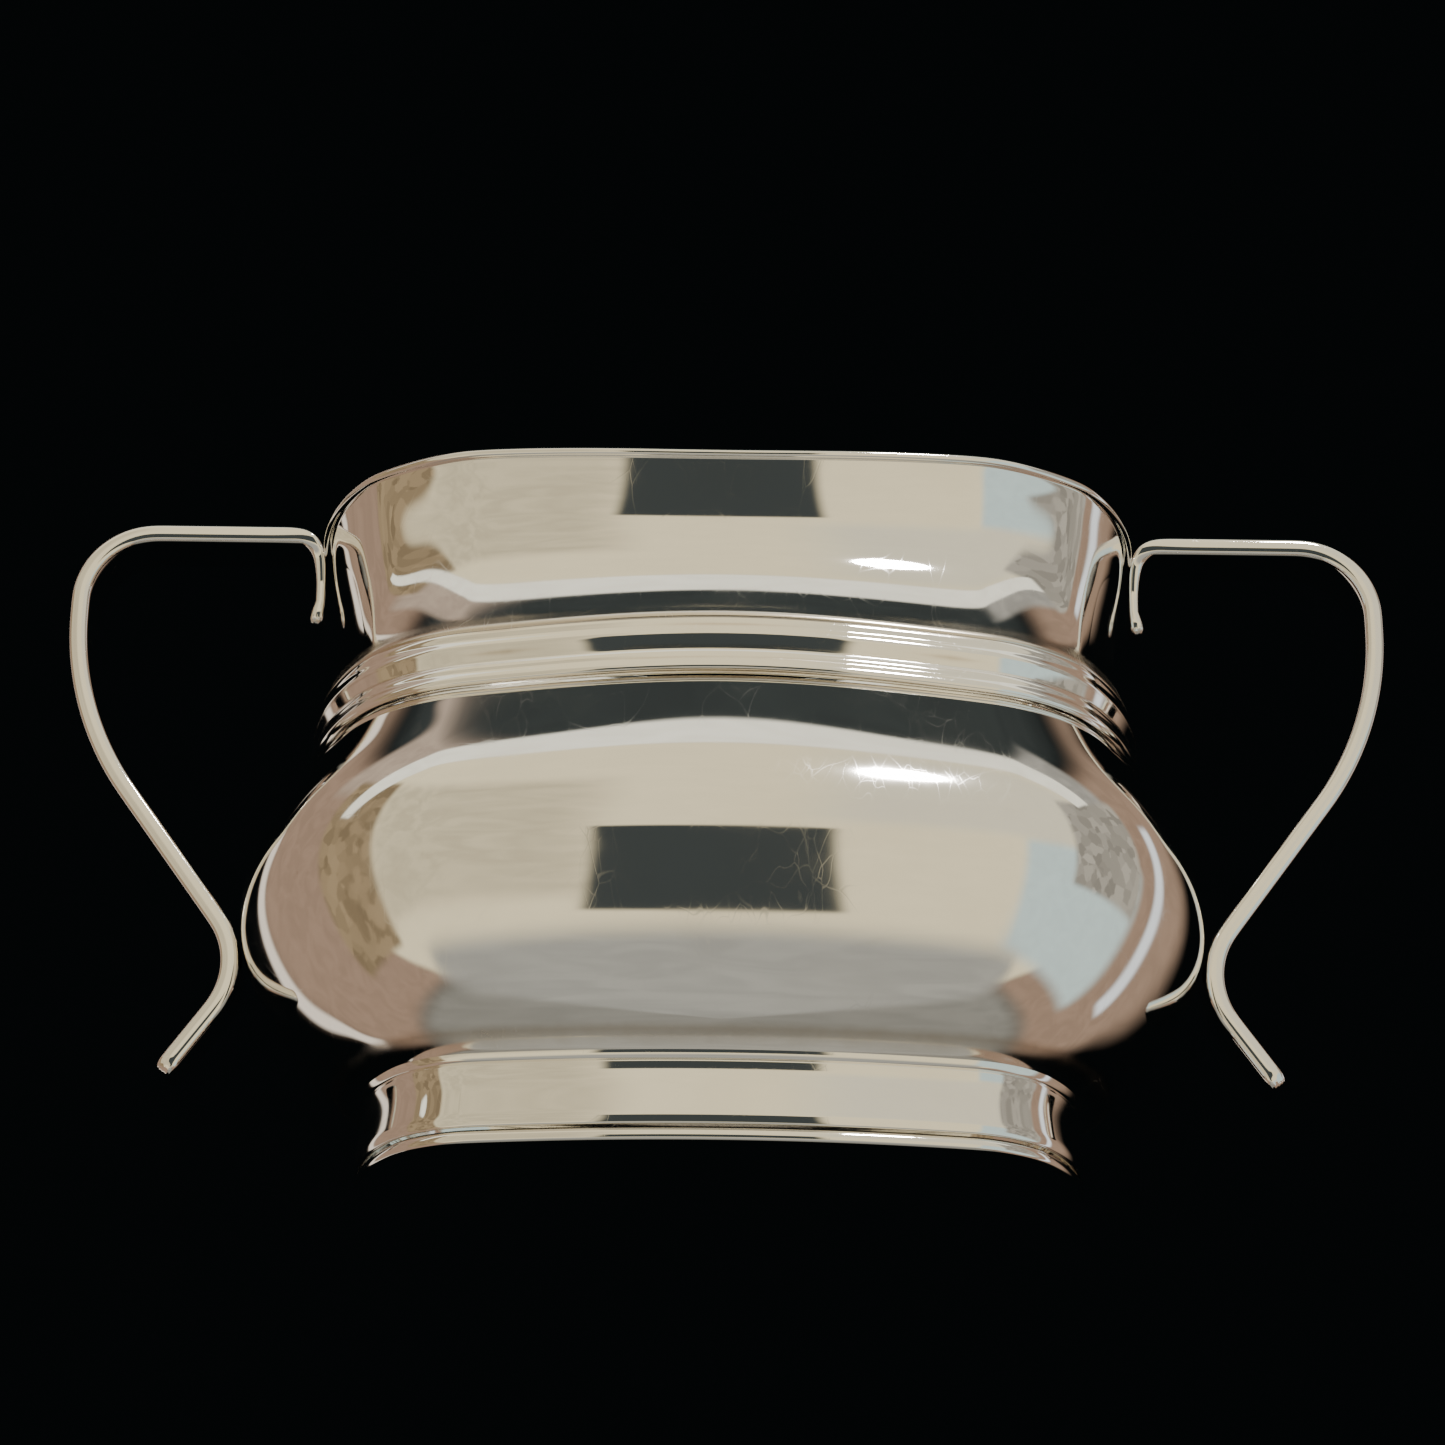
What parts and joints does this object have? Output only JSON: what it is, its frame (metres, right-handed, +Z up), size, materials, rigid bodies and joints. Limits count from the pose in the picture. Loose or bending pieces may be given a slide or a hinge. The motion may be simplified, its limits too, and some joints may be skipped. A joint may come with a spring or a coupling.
{
  "type": "sugar bowl",
  "caption": "Rounded oblong silver sugar bowl on a collet foot, with a moulded neck, a flared collar and bent strap handles at its ends.",
  "frame": {"origin": "centre of the foot's rest plane, on the ground", "axes": "+X along the bowl's length towards the right-hand handle, +Y towards the back, +Z up"},
  "size_m": [0.1614, 0.0896, 0.0837],
  "materials": {
    "body_silver": "mirror polish with fine cleaning scratches",
    "collar_silver": "mirror polish",
    "foot_silver": "mirror polish, slightly worn at the base",
    "handle_silver": "polished, softly worn edges",
    "moulding_silver": "polished, slight tarnish in the hollows"
  },
  "bodies": {
    "root": {"body_shell": "body_silver", "collar": "collar_silver", "foot_band": "foot_silver", "foot_base_wire": "foot_silver", "foot_moulding": "foot_silver", "left_handle": "handle_silver", "neck_ring": "moulding_silver", "right_handle": "handle_silver", "rim_wire": "collar_silver"}
  },
  "joints": []
}
